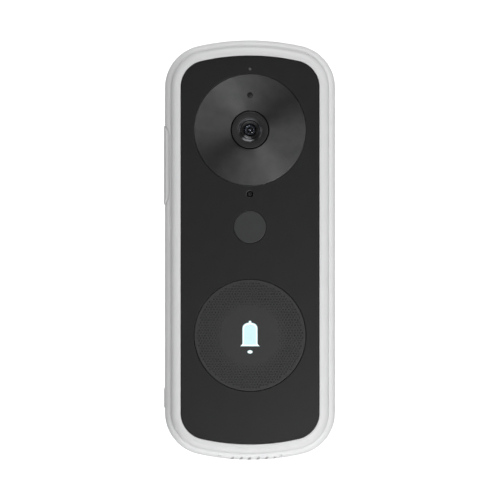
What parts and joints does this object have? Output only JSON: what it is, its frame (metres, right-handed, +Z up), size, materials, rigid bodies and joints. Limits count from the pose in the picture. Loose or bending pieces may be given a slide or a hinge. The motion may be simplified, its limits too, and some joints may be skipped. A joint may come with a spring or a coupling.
{
  "type": "video doorbell",
  "caption": "slim battery video doorbell with camera dish, motion sensor, round call button with lit bell and side port cover, hung on a wall bracket",
  "frame": {"origin": "centre of the wall bracket's flat back face, on the wall plane, midway between the top and the bottom of the doorbell", "axes": "+Z up along the wall, -Y out of the wall and through the front of the doorbell, +X to the right of somebody facing the doorbell"},
  "size_m": [0.0563, 0.031, 0.138],
  "materials": {
    "shell": "satin white plastic, fine spark texture",
    "bezel": "satin white plastic",
    "panel": "smooth near-black plastic, semi-gloss",
    "dish": "black plastic with fine concentric turned grooves",
    "lens_metal": "fine matt black",
    "lens_glass": "coated optical glass",
    "button": "dark grey plastic, moulded dimples",
    "sensor_lens": "dark grey translucent plastic, matt",
    "lit_icon": "lit milky light guide",
    "seal": "black silicone",
    "cover_rubber": "white silicone",
    "bracket_plastic": "grey glass-filled plastic",
    "inner_plastic": "black moulded plastic",
    "screw_steel": "machined steel",
    "board": "green solder mask over fibreglass",
    "chip": "black moulding compound",
    "tin": "tinned steel can",
    "led": "clear epoxy over a yellow phosphor",
    "cell_wrap": "blue shrink sleeve",
    "copper_foil": "gold-plated foil"
  },
  "bodies": {
    "bracket": {"wall_bracket": "bracket_plastic"},
    "security_screw": {"security_screw": "screw_steel"},
    "port_cover": {"port_cover": "cover_rubber"},
    "power_button": {"power_button": "bezel"},
    "call_button": {"call_button": "button", "bell_light_guide": "lit_icon"},
    "filter_slider": {"filter_slider": "inner_plastic", "infrared_cut_glass": "lens_glass", "clear_glass": "lens_glass"},
    "doorbell": {"rear_shell": "shell", "front_bezel": "bezel", "housing_seal": "seal", "case_screw_1": "screw_steel", "case_screw_2": "screw_steel", "case_screw_3": "screw_steel", "case_screw_4": "screw_steel", "front_panel": "panel", "camera_dish": "dish", "lens_trim_ring": "lens_metal", "lens_barrel": "lens_metal", "lens_front_element": "lens_glass", "lens_rear_element": "lens_glass", "lens_holder": "inner_plastic", "filter_frame": "inner_plastic", "image_sensor": "chip", "camera_board": "board", "light_board": "board", "infrared_led_1": "led", "infrared_led_2": "led", "infrared_led_3": "led", "infrared_led_4": "led", "light_sensor": "chip", "light_sensor_window": "sensor_lens", "status_led": "led", "status_light_pipe": "sensor_lens", "microphone": "tin", "microphone_boot": "seal", "pir_sensor": "tin", "pir_lens": "sensor_lens", "call_switch": "chip", "bell_led_left": "led", "bell_led_right": "led", "main_board": "board", "processor_shield": "tin", "radio_module": "tin", "antenna": "copper_foil", "usb_socket": "tin", "card_socket": "tin", "power_switch": "chip", "battery_cradle": "inner_plastic", "battery_cell_left": "cell_wrap", "battery_cell_right": "cell_wrap", "cell_strap_top": "tin", "cell_strap_bottom": "tin", "speaker_seal": "seal", "speaker": "inner_plastic"}
  },
  "joints": [
    {"name": "hang_slide", "type": "slide", "parent": "bracket", "child": "doorbell", "axis": [0, 0, 1], "range_m": [0, 0.007]},
    {"name": "security_screw_slide", "type": "slide", "parent": "bracket", "child": "security_screw", "axis": [0, 0, -1], "range_m": [0, 0.0105]},
    {"name": "port_cover_hinge", "type": "hinge", "parent": "doorbell", "child": "port_cover", "pos_m": [-0.0282, -0.0144, 0.02785], "axis": [0, 0, -1], "range_deg": [0, 100]},
    {"name": "power_button_press", "type": "slide", "parent": "doorbell", "child": "power_button", "axis": [1, 0, 0], "range_m": [0, 0.0004], "stiffness_N_per_m": 1200, "springref_m": -0.0004},
    {"name": "call_button_press", "type": "slide", "parent": "doorbell", "child": "call_button", "axis": [0, 1, 0], "range_m": [0, 0.0008], "stiffness_N_per_m": 1200, "springref_m": -0.0008},
    {"name": "filter_switch", "type": "slide", "parent": "doorbell", "child": "filter_slider", "axis": [-1, 0, 0], "range_m": [0, 0.0065]}
  ]
}
